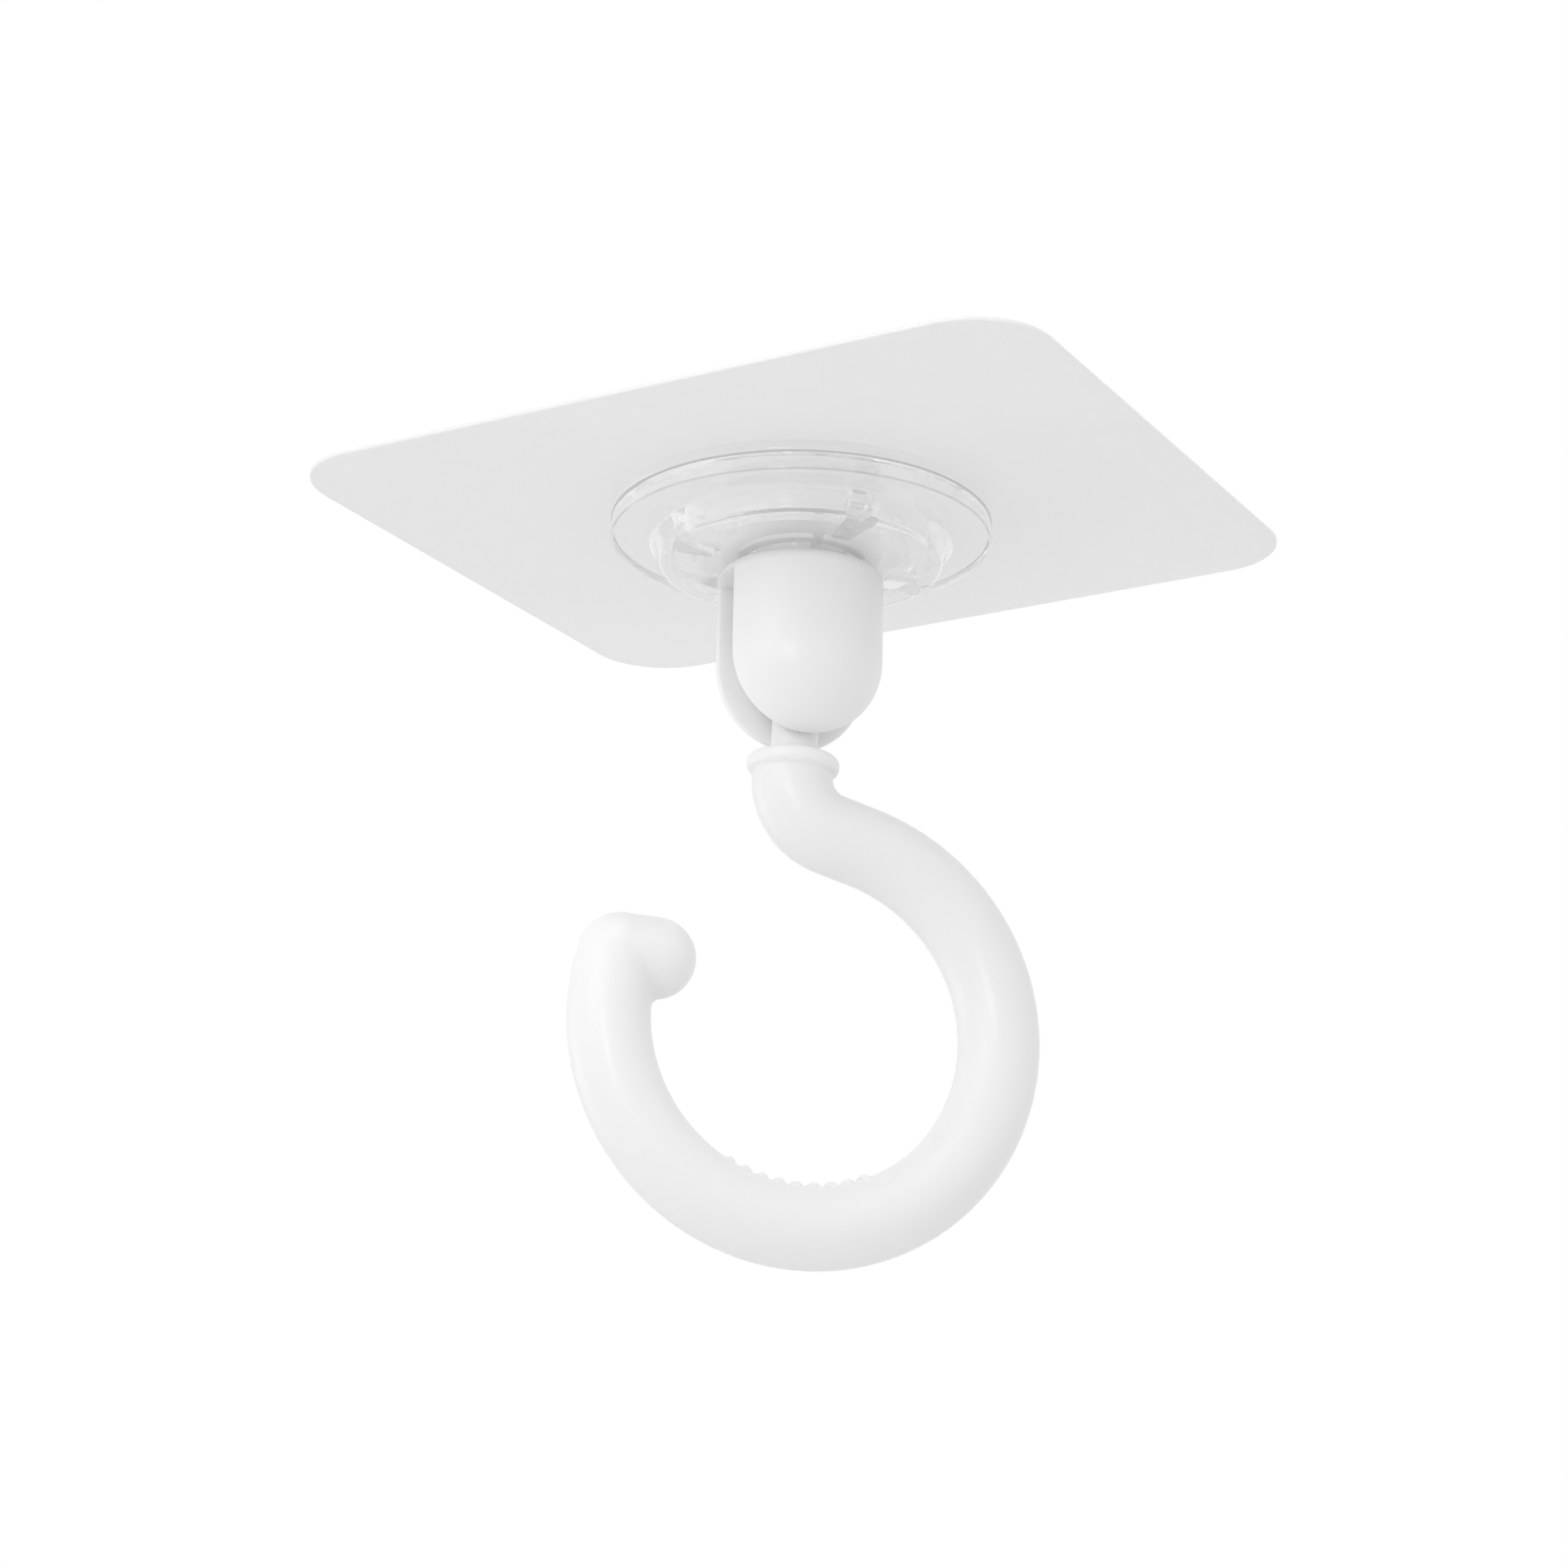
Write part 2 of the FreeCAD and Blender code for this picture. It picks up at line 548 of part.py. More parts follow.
# Hook: eye with two stub trunnions, neck, collar, and a round bar bent to an open ring with a
# turned-in nub at its end and grip ribs across the inside of its lowest part
def make_hook():
    body = new_body("hook")
    neck_sketch = new_sketch(body, "neck_section", "XZ_Plane")
    neck_top = "-Sizes.eye_radius / 2"
    collar_top = "-(Sizes.collar_drop - Sizes.collar_rim)"
    collar_end = "-(Sizes.collar_drop + Sizes.collar_rim)"
    outline(neck_sketch, [
        ("0", neck_top),
        ("Sizes.neck_radius", neck_top),
        ("Sizes.neck_radius", collar_top),
        ("Sizes.collar_radius", collar_top),
        ("Sizes.collar_radius", collar_end),
        ("0", collar_end),
    ])
    neck = revolve(body, "PartDesign::Revolution", "neck_and_collar", neck_sketch)
    doc.recompute()
    edges = rims(neck.Shape, SIZES["collar_radius"])
    round_edges(body, "collar_rims", edges, "Sizes.collar_rounding")
    doc.recompute()
    edges = rims(body.Tip.Shape, SIZES["neck_radius"], "lowest")
    round_edges(body, "neck_blend", edges, "Sizes.neck_blend")

    path = new_sketch(body, "hook_path", "XZ_Plane")
    draw_hook_path(path)
    bar_sketch = new_sketch(body, "bar_section", "XY_Plane")
    bar_sketch.setExpression(".AttachmentOffset.Base.z", "-Sizes.collar_drop")
    circle(bar_sketch, "Sizes.bar_radius", "0")
    doc.recompute()
    bar = body.newObject("PartDesign::AdditivePipe", "bar")
    bar.Profile = bar_sketch
    bar.Spine = (path, [f"Edge{number}" for number in range(1, 5)])
    doc.recompute()
    edges = rims(bar.Shape, SIZES["bar_radius"], "highest")
    round_edges(body, "collar_blend", edges, "Sizes.collar_blend")
    doc.recompute()

    nub_sketch = new_sketch(body, "nub_section", "XZ_Plane")
    tip_across = f"{RING_ACROSS} - Sizes.ring_radius * cos({TIP_ANGLE})"
    nub_sketch.setExpression(".AttachmentOffset.Base.x", tip_across)
    nub_sketch.setExpression(".AttachmentOffset.Base.y", f"{TIP_RISE} - {RING_DEPTH}")
    draw_nub(nub_sketch)
    nub = body.newObject("PartDesign::Revolution", "nub")
    nub.Profile = nub_sketch
    nub.ReferenceAxis = (nub_sketch, ["H_Axis"])
    nub.Angle = FULL_TURN
    doc.recompute()
    round_edges(body, "nub_blend", crook_edges(nub.Shape), "Sizes.nub_rounding")

    eye_sketch = new_sketch(body, "eye_outline", "XZ_Plane")
    circle(eye_sketch, "Sizes.eye_radius", "0")
    extrude(body, "PartDesign::Pad", "eye", eye_sketch, EYE_THICKNESS)
    trunnion_sketch = new_sketch(body, "trunnion_outline", "XZ_Plane")
    circle(trunnion_sketch, "Sizes.trunnion_radius", "0")
    extrude(body, "PartDesign::Pad", "trunnions", trunnion_sketch, TRUNNION_SPAN)

    make_grip_ribs(body)
    upright = FreeCAD.Rotation(FreeCAD.Vector(0, 0, 1), SIZES["swivel_angle"])
    hang = FreeCAD.Rotation(FreeCAD.Vector(0, 1, 0), SIZES["hang_angle"])
    body.Placement = FreeCAD.Placement(FreeCAD.Vector(0, 0, -SIZES["pivot_depth"]), upright * hang)
    return body


def make_grip_ribs(body):
    """Row of beads that wrap the inside of the bar and sink into it towards the sides."""
    sketch = new_sketch(body, "grip_section", "XZ_Plane")
    sketch.setExpression(".AttachmentOffset.Base.x", RING_ACROSS)
    sketch.setExpression(".AttachmentOffset.Base.y", f"-{RING_DEPTH}")
    half_row = "(Sizes.grip_count - 1) / 2 * Sizes.grip_pitch"
    sketch.setExpression(".AttachmentOffset.Rotation.Angle", f"-Sizes.grip_centre - {half_row}")
    axis_height = "-(Sizes.ring_radius - Sizes.grip_shift)"
    bead, axis = range(2)
    low = -SIZES["ring_radius"]
    reach = SIZES["grip_bead"]
    middle = FreeCAD.Vector(0, low + SIZES["grip_ring"], 0)
    sketch.addGeometry(Part.Circle(middle, FreeCAD.Vector(0, 0, 1), reach), False)
    sketch.addGeometry(Part.LineSegment(FreeCAD.Vector(-reach, low, 0), FreeCAD.Vector(reach, low, 0)), True)
    place_point(sketch, bead, 3, "0", f"{axis_height} + Sizes.grip_ring")
    dimension(sketch, "bead_radius", "Sizes.grip_bead", "Radius", bead, reach)
    place_point(sketch, axis, 1, "-Sizes.grip_bead", axis_height)
    place_point(sketch, axis, 2, "Sizes.grip_bead", axis_height)
    rib = body.newObject("PartDesign::Revolution", "grip_rib")
    rib.Profile = sketch
    rib.ReferenceAxis = (sketch, ["Axis0"])
    rib.Angle = FULL_TURN
    doc.recompute()
    ribs = body.newObject("PartDesign::PolarPattern", "grip_ribs")
    ribs.Originals = [rib]
    ribs.Axis = (sketch, ["N_Axis"])
    bind(ribs, Angle="(Sizes.grip_count - 1) * Sizes.grip_pitch", Occurrences="Sizes.grip_count")
    body.Tip = ribs


def crook_edges(shape):
    """Edges where the slimmer nub leaves the ring and the ball at its end."""
    nose = SIZES["bar_radius"] - SIZES["nub_slimming"]
    names = []
    for number, edge in enumerate(shape.Edges, start=1):
        faces = [face.Surface for face in shape.ancestorsOfType(edge, Part.Face)]
        on_nub = any(isinstance(face, Part.Cylinder) and abs(face.Radius - nose) < TINY for face in faces)
        on_ball = any(isinstance(face, Part.Sphere) and face.Radius > nose + TINY for face in faces)
        on_ring = any(isinstance(face, Part.Toroid) for face in faces)
        if on_nub and (on_ball or on_ring):
            names.append(f"Edge{number}")
    return names


def check(bodies):
    """Stop on any object that failed and on any piece that is not one sound solid."""
    for item in doc.Objects:
        if "Invalid" in item.State or "Error" in item.State:
            raise ValueError(f"{item.Name} failed: {item.State}")
    for body in bodies:
        if body.Shape.isNull() or not body.Shape.isValid():
            raise ValueError(f"{body.Label} is not a valid shape")
        if len(body.Shape.Solids) != 1:
            raise ValueError(f"{body.Label} has {len(body.Shape.Solids)} solids")


def main():
    os.makedirs("parts", exist_ok=True)
    write_sheet()
    bodies = [
        make_adhesive_sheet(),
        make_base_disc(),
        make_cover_disc(),
        make_yoke(),
        make_hook(),
    ]
    doc.recompute()
    check(bodies)
    for body in bodies:
        body.Shape.exportStep(f"parts/{body.Label}.step")
        print(f"{body.Label}: {body.Shape.Volume:.1f} mm3, {len(body.Shape.Faces)} faces")


main()
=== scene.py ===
import math

import bmesh
import bpy
from mathutils import Euler, Matrix, Vector


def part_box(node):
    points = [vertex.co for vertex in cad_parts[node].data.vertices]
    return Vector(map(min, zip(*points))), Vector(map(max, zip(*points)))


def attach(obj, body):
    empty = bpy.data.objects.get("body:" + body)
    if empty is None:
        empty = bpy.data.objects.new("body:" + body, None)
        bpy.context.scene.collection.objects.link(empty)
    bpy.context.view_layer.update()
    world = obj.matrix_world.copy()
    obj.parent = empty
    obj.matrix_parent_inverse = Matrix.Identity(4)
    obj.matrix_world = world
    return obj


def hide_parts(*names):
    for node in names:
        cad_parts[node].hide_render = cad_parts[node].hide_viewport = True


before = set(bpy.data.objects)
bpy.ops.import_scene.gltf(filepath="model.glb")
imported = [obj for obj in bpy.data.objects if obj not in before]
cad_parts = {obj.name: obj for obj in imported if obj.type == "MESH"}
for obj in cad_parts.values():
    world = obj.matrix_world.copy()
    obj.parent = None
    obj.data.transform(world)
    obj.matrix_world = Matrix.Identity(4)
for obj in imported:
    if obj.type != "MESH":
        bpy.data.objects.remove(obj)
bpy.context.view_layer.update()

bl_info = {
    "name": "Ceiling Hook",
    "version": (1, 0, 0),
    "blender": (4, 5, 0),
    "location": "3D View > Sidebar > Ceiling Hook",
    "description": "Clear sheet and discs, white yoke and hook, on a pale studio stage",
    "category": "Object",
}

MM = 0.001
PLATE = "ceiling_plate"

# Low and high corner of each clear solid, in millimetres
SHEET_LOW, SHEET_HIGH = (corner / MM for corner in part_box("adhesive_sheet"))
BASE_LOW, BASE_HIGH = (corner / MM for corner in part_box("base_disc"))
COVER_LOW, COVER_HIGH = (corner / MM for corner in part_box("cover_disc"))

# Base disc: hub and lugs, in millimetres
HUB_RADIUS = 12.4
HUB_BORE_RADIUS = 11.1
LUG_ROOT_DEPTH = 0.65
LUG_REACH = 2.1
LUG_HEIGHT = 1.25

# Cover disc: plate, tapered boss and the cavity in it, radii and heights in millimetres
PLATE_UNDER = -3.95
BOSS_ROOT_RADIUS = 17.0
BOSS_FACE_RADIUS = 15.8
BOSS_ROUNDING = 0.5
BORE_RADIUS = 6.33
CAVITY_RADIUS = 14.7
CAVITY_FLOOR = -5.6
LEDGE_RADII = (12.55, 15.25)
LEDGE_HEIGHTS = (-3.65, -2.4)
WINDOW_RADII = (10.2, 18.0)
WINDOW_BELOW_FACE = 1.0
WINDOW_BELOW_PLATE = 0.5
WINDOW_ROUNDING = 0.3

# Painted shade lines on the discs' rims: depth from the rim, half width from full to none, and
# place from the joint and from the cover's lower edge, in millimetres
RIM_LINE_DEPTH = 0.35
RIM_LINE_HALF = (0.06, 0.14)
JOINT_LINE_BELOW = 0.05
EDGE_LINE_ABOVE = 0.15

# Facets across each rounding, and in the sweep of a lug, a ledge or a window
CORNER_SEGMENTS = 24
RIM_SEGMENTS = 4
LOWER_SEGMENTS = 6
FINE_SEGMENTS = 2
EDGE_SEGMENTS = 3
SWEEP_STEPS = 6

SMOOTH_ANGLE = math.radians(32)
SHEET_EDGE_ANGLE = math.radians(60)

# White plastic: turn of the hook's plane, half width of its parting line from the crest to the
# foot in millimetres, the line's height, and how pale its darker clouds are
HOOK_PLANE_TURN = math.radians(-45)
SEAM_HALF = (0.02, 0.14)
SEAM_HEIGHT = 0.6
CLOUD_TONE = 0.985

# Clear plastic: colour of the painted shade lines on the rims, and the bounces after which light
# is let out
RIM_SHADE = (0.25, 0.25, 0.26, 1.0)
TRAPPED_BOUNCES = 3.5

# Clear film: change of its cover, and the part of the noise that it follows
FILM_COVER_CHANGE = 0.02
FILM_CLOUD = (0.3, 0.7)

# Camera of the photograph: place, lens and sensor in millimetres, angles in degrees, and the
# nearest and farthest it sees in metres
CAMERA_PLACE = Vector((189.8, -336.9, -158.3))
CAMERA_HEADING = Vector((-0.4941, 0.8694, 0))
CAMERA_PITCH = 18.02
CAMERA_ROLL = 0.98
CAMERA_LENS = 84.65
CAMERA_SENSOR = 36
CAMERA_NEAR, CAMERA_FAR = 0.01, 50

LAMPS = {
    "key": (-12, 20, 0.45),
    "front": (16, 5, 0.14),
    "top": (20, 60, 0.4),
    "side": (-80, -8, 0.4),
}
LAMP_DISTANCE = 0.8
LAMP_AIM = Vector((0, 0, -0.05))

# Floor: side in metres, tones, and the distances from its middle where it starts and ends to fade
FLOOR_SIDE = 12
FLOOR_BOUNCE = (0.92, 0.92, 0.92, 1.0)
FLOOR_SEEN = (0.76, 0.76, 0.76, 1.0)
FLOOR_FADE = (0.7, 4.0)


class SheetSizes(bpy.types.PropertyGroup):
    corner: bpy.props.FloatProperty(
        name="Corner radius", description="Radius of the sheet's corners, in millimetres",
        default=9.0
    )
    edge: bpy.props.FloatProperty(
        name="Edge rounding", description="Rounding of the sheet's cut edge, in millimetres",
        default=0.16
    )


class DiscSizes(bpy.types.PropertyGroup):
    steps: bpy.props.IntProperty(
        name="Steps", description="Straight facets round each disc", default=192
    )
    bonding: bpy.props.FloatProperty(
        name="Bonding depth",
        description="How far a clear piece sinks into the one above it, in millimetres",
        default=0.04
    )
    rim_rounding: bpy.props.FloatProperty(
        name="Rim rounding", description="Rounding of the discs' outer edges, in millimetres",
        default=0.25
    )
    rim_gap: bpy.props.FloatProperty(
        name="Rim gap",
        description="Height of the open joint between the two discs' rims, in millimetres",
        default=0.1
    )
    rim_gap_depth: bpy.props.FloatProperty(
        name="Rim gap depth",
        description="How far the open joint reaches in from the rim, in millimetres",
        default=1.6
    )
    lower_rounding: bpy.props.FloatProperty(
        name="Lower rim rounding",
        description="Rounding of the cover's lower edge, in millimetres", default=0.3
    )
    fine_rounding: bpy.props.FloatProperty(
        name="Fine rounding", description="Rounding of moulded inner edges, in millimetres",
        default=0.18
    )
    lug_angle: bpy.props.FloatProperty(
        name="Lug angle", description="Width of a lug and of a ledge, in degrees", default=11.0
    )
    window_angle: bpy.props.FloatProperty(
        name="Window angle", description="Width of a window, in degrees", default=13.5
    )
    first_window: bpy.props.FloatProperty(
        name="First window", description="Direction of the first window, in degrees from +X",
        default=-22.5
    )
    windows: bpy.props.IntProperty(
        name="Windows", description="Number of windows, lugs and ledges", default=4
    )


class Finishes(bpy.types.PropertyGroup):
    white: bpy.props.FloatVectorProperty(
        name="White plastic", description="Colour of the yoke and the hook",
        subtype="COLOR", size=4, default=(0.868, 0.868, 0.873, 1.0)
    )
    clear: bpy.props.FloatVectorProperty(
        name="Clear plastic", description="Tint of the clear discs",
        subtype="COLOR", size=4, default=(0.985, 0.985, 0.985, 1.0)
    )
    film: bpy.props.FloatVectorProperty(
        name="Clear film", description="Colour of the adhesive sheet",
        subtype="COLOR", size=4, default=(0.955, 0.955, 0.957, 1.0)
    )
    film_cover: bpy.props.FloatProperty(
        name="Film cover", description="How much the sheet hides of what is behind it",
        subtype="FACTOR", default=0.72
    )


class StageLights(bpy.types.PropertyGroup):
    ambient: bpy.props.FloatProperty(
        name="Ambient", description="Strength of the light from all round", default=0.78
    )
    key_power: bpy.props.FloatProperty(
        name="Key lamp", description="Power of the large lamp from the front left",
        subtype="POWER", unit="POWER", default=0.85
    )
    front_power: bpy.props.FloatProperty(
        name="Front lamp", description="Power of the small lamp beside the camera",
        subtype="POWER", unit="POWER", default=0.55
    )
    top_power: bpy.props.FloatProperty(
        name="Top lamp", description="Power of the lamp high in front",
        subtype="POWER", unit="POWER", default=0.95
    )
    side_power: bpy.props.FloatProperty(
        name="Side lamp", description="Power of the low lamp from the left",
        subtype="POWER", unit="POWER", default=0.42
    )
    floor_height: bpy.props.FloatProperty(
        name="Floor height", description="Height of the floor below the ceiling",
        subtype="DISTANCE", unit="LENGTH", default=-0.45
    )


def deselect():
    """Leave edit mode and select nothing."""
    if bpy.context.mode != "OBJECT":
        bpy.ops.object.mode_set(mode="OBJECT")
    bpy.ops.object.select_all(action="DESELECT")


def pick(piece):
    """Select one object alone and make it active."""
    deselect()
    piece.select_set(True)
    bpy.context.view_layer.objects.active = piece


def edit(piece, mode):
    """Open a piece in edit mode with nothing selected."""
    pick(piece)
    bpy.ops.object.mode_set(mode="EDIT")
    bpy.ops.mesh.select_mode(type=mode)
    bpy.ops.mesh.select_all(action="DESELECT")


def apply_place(piece):
    """Put a piece's place, turn and scale into its mesh."""
    pick(piece)
    bpy.ops.object.transform_apply(location=True, rotation=True, scale=True)


def apply_modifier(piece, kind, **settings):
    """Add a modifier by operator, set it and apply it."""
    pick(piece)
    bpy.ops.object.modifier_add(type=kind)
    modifier = piece.modifiers[-1]
    for name, value in settings.items():
        setattr(modifier, name, value)
    bpy.ops.object.modifier_apply(modifier=modifier.name)


def face_outwards(piece):
    """Merge doubles and turn all faces outwards."""
    edit(piece, "VERT")
    bpy.ops.mesh.select_all(action="SELECT")
    bpy.ops.mesh.remove_doubles(threshold=0.001 * MM)
    bpy.ops.mesh.normals_make_consistent(inside=False)
    deselect()


def near(vertex, radius, height, slack=0.005):
    """Tell whether a vertex lies on the ring of this radius and height."""
    return (
        abs(math.hypot(vertex.co.x, vertex.co.y) / MM - radius) < slack
        and abs(vertex.co.z / MM - height) < slack
    )


def round_rings(piece, rings, width, segments):
    """Bevel whole rings of a turned piece, each given by its radius and height."""
    edit(piece, "EDGE")
    mesh = bmesh.from_edit_mesh(piece.data)
    for edge in mesh.edges:
        edge.select = any(all(near(vertex, *ring) for vertex in edge.verts) for ring in rings)
    bmesh.update_edit_mesh(piece.data)
    bpy.ops.mesh.bevel(
        offset=width * MM, segments=segments, profile=0.5, affect="EDGES", clamp_overlap=True
    )
    deselect()


def turned_piece(name, section, steps):
    """Round piece grown ring by ring down its half section, as on a lathe."""
    deselect()
    radius, height = section[0]
    bpy.ops.mesh.primitive_circle_add(
        vertices=steps, radius=radius * MM, location=(0, 0, height * MM)
    )
    piece = bpy.context.object
    piece.name = name
    piece.data.name = name
    apply_place(piece)
    edit(piece, "EDGE")
    bpy.ops.mesh.select_all(action="SELECT")
    for following_radius, following_height in section[1:]:
        drop = (following_height - height) * MM
        bpy.ops.mesh.extrude_region_move(TRANSFORM_OT_translate={"value": (0, 0, drop)})
        ratio = following_radius / radius
        bpy.ops.transform.resize(value=(ratio, ratio, 1), center_override=(0, 0, 0))
        radius, height = following_radius, following_height
    return piece


def close_disc(piece):
    """Cap the open rings of a turned piece, its middle and its start."""
    edit(piece, "EDGE")
    bpy.ops.mesh.select_non_manifold()
    bpy.ops.mesh.edge_face_add()
    face_outwards(piece)


def close_ring(piece):
    """Join the last ring of a turned piece back to its first."""
    edit(piece, "EDGE")
    bpy.ops.mesh.select_non_manifold()
    bpy.ops.mesh.bridge_edge_loops()
    face_outwards(piece)


def sector_blocks(name, radii, heights, width, sizes, rounding):
    """Ring of blocks, each swept round the axis from an upright plane."""
    inside, outside = radii
    low, high = heights
    deselect()
    bpy.ops.mesh.primitive_plane_add(size=1, rotation=(math.pi / 2, 0, 0))
    block = bpy.context.object
    block.name = name
    apply_place(block)
    block.scale = ((outside - inside) * MM, 1, (high - low) * MM)
    block.location = ((inside + outside) / 2 * MM, 0, (low + high) / 2 * MM)
    apply_place(block)
    block.rotation_euler = Euler((0, 0, math.radians(sizes.first_window - width / 2)))
    apply_place(block)
    edit(block, "FACE")
    bpy.ops.mesh.select_all(action="SELECT")
    bpy.ops.mesh.spin(
        steps=SWEEP_STEPS, angle=math.radians(width), center=(0, 0, 0), axis=(0, 0, 1)
    )
    face_outwards(block)
    apply_modifier(
        block, "BEVEL", width=rounding * MM, segments=EDGE_SEGMENTS, limit_method="ANGLE"
    )
    copies = [block]
    for number in range(1, sizes.windows):
        pick(block)
        bpy.ops.object.duplicate()
        copy = bpy.context.object
        copy.rotation_euler = Euler((0, 0, 2 * math.pi * number / sizes.windows))
        apply_place(copy)
        copies.append(copy)
    deselect()
    for copy in copies:
        copy.select_set(True)
    bpy.context.view_layer.objects.active = block
    bpy.ops.object.join()
    return block


def combine(piece, tool, operation):
    """Cut a tool's shape out of a piece, or add it."""
    apply_modifier(piece, "BOOLEAN", operation=operation, solver="EXACT", object=tool)
    bpy.data.objects.remove(tool)


def dress(piece, material, slot, *nodes):
    """Give a new piece its finish and let it stand for its solids."""
    piece.data.materials.clear()
    piece.data.materials.append(material)
    pick(piece)
    bpy.ops.object.shade_smooth_by_angle(angle=SMOOTH_ANGLE)
    deselect()
    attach(piece, PLATE)
    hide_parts(*nodes)


def paint(node, material):
    """Give a carried-over solid its finish."""
    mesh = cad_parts[node].data
    mesh.materials.clear()
    mesh.materials.append(material)


def set_inputs(node, **values):
    """Set a node's inputs; an underscore stands for a space in their names."""
    for name, value in values.items():
        node.inputs[name.replace("_", " ")].default_value = value


def feed(tree, socket, source):
    """Link a socket to another node's output, or set it to a number."""
    if isinstance(source, bpy.types.NodeSocket):
        tree.links.new(source, socket)
    else:
        socket.default_value = source


def object_place(tree):
    """Coordinates in the object's own frame."""
    return tree.nodes.new("ShaderNodeTexCoord").outputs["Object"]


def math_node(tree, operation, *sources):
    """Math on outputs of other nodes or on plain numbers."""
    node = tree.nodes.new("ShaderNodeMath")
    node.operation = operation
    for socket, source in zip(node.inputs, sources):
        feed(tree, socket, source)
    return node.outputs[0]


def length_node(tree, vector):
    """Length of a vector."""
    node = tree.nodes.new("ShaderNodeVectorMath")
    node.operation = "LENGTH"
    tree.links.new(vector, node.inputs[0])
    return node.outputs["Value"]


def range_node(tree, value, source, target, interpolation="SMOOTHSTEP"):
    """Carry a value from one range over to another."""
    node = tree.nodes.new("ShaderNodeMapRange")
    node.interpolation_type = interpolation
    set_inputs(
        node, From_Min=source[0], From_Max=source[1], To_Min=target[0], To_Max=target[1]
    )
    tree.links.new(value, node.inputs["Value"])
    return node.outputs["Result"]


def noise_node(tree, scale, detail):
    """Noise in the object's own frame."""
    node = tree.nodes.new("ShaderNodeTexNoise")
    node.inputs["Detail"].default_value = detail
    feed(tree, node.inputs["Scale"], scale)
    tree.links.new(object_place(tree), node.inputs["Vector"])
    return node.outputs["Fac"]


def colour_node(tree, factor, start, end):
    """Colour between two colours."""
    node = tree.nodes.new("ShaderNodeMix")
    node.data_type = "RGBA"
    set_inputs(node, A=start, B=end)
    tree.links.new(factor, node.inputs["Factor"])
    return node.outputs["Result"]


def new_group(name, entries, results):
    """Node group with number sockets, its entry sockets and its result sockets."""
    group = bpy.data.node_groups.new(name, "ShaderNodeTree")
    for side, names in (("INPUT", entries), ("OUTPUT", results)):
        for socket in names:
            group.interface.new_socket(socket, in_out=side, socket_type="NodeSocketFloat")
    entry = group.nodes.new("NodeGroupInput").outputs
    leave = group.nodes.new("NodeGroupOutput").inputs
    return group, entry, leave


def group_node(tree, group, **values):
    """Place a shader node group with its own values."""
    node = tree.nodes.new("ShaderNodeGroup")
    node.node_tree = group
    set_inputs(node, **values)
    return node.outputs


def moulded_grain():
    """Node group: orange-peel height and a soft roughness change of moulded plastic."""
    made = bpy.data.node_groups.get("moulded_grain")
    if made:
        return made
    group, entry, leave = new_group(
        "moulded_grain",
        ("Peel Size", "Peel Depth", "Roughness", "Roughness Change"),
        ("Height", "Roughness"),
    )
    peel = noise_node(group, scale=entry["Peel Size"], detail=3.0)
    flow = noise_node(group, scale=120.0, detail=2.0)
    height = math_node(group, "MULTIPLY", peel, entry["Peel Depth"])
    roughness = math_node(
        group, "MULTIPLY_ADD", flow, entry["Roughness Change"], entry["Roughness"]
    )
    group.links.new(height, leave["Height"])
    group.links.new(roughness, leave["Roughness"])
    return group


def rim_line():
    """Node group: mask of a thin painted shade line round a disc's rim at a given height."""
    made = bpy.data.node_groups.get("rim_line")
    if made:
        return made
    group, entry, leave = new_group("rim_line", ("Height", "Rim", "Strength"), ("Line",))
    split = group.nodes.new("ShaderNodeSeparateXYZ")
    group.links.new(object_place(group), split.inputs[0])
    flat = group.nodes.new("ShaderNodeCombineXYZ")
    for axis in "XY":
        group.links.new(split.outputs[axis], flat.inputs[axis])
    outer = math_node(group, "GREATER_THAN", length_node(group, flat.outputs[0]), entry["Rim"])
    apart = math_node(group, "SUBTRACT", split.outputs["Z"], entry["Height"])
    away = math_node(group, "ABSOLUTE", apart)
    band = range_node(group, away, [half * MM for half in RIM_LINE_HALF], (1.0, 0.0))
    both = math_node(group, "MULTIPLY", outer, band)
    line = math_node(group, "MULTIPLY", both, entry["Strength"])
    group.links.new(line, leave["Line"])
    return group


def new_material(name):
    """Material with its node tree and its main shader."""
    material = bpy.data.materials.new(name)
    material.use_nodes = True
    return material, material.node_tree, material.node_tree.nodes["Principled BSDF"]


def bump(tree, shader, height, distance):
    """Let a height disturb a shader's surface by up to a distance in metres."""
    node = tree.nodes.new("ShaderNodeBump")
    node.inputs["Distance"].default_value = distance
    tree.links.new(height, node.inputs["Height"])
    tree.links.new(node.outputs["Normal"], shader.inputs["Normal"])


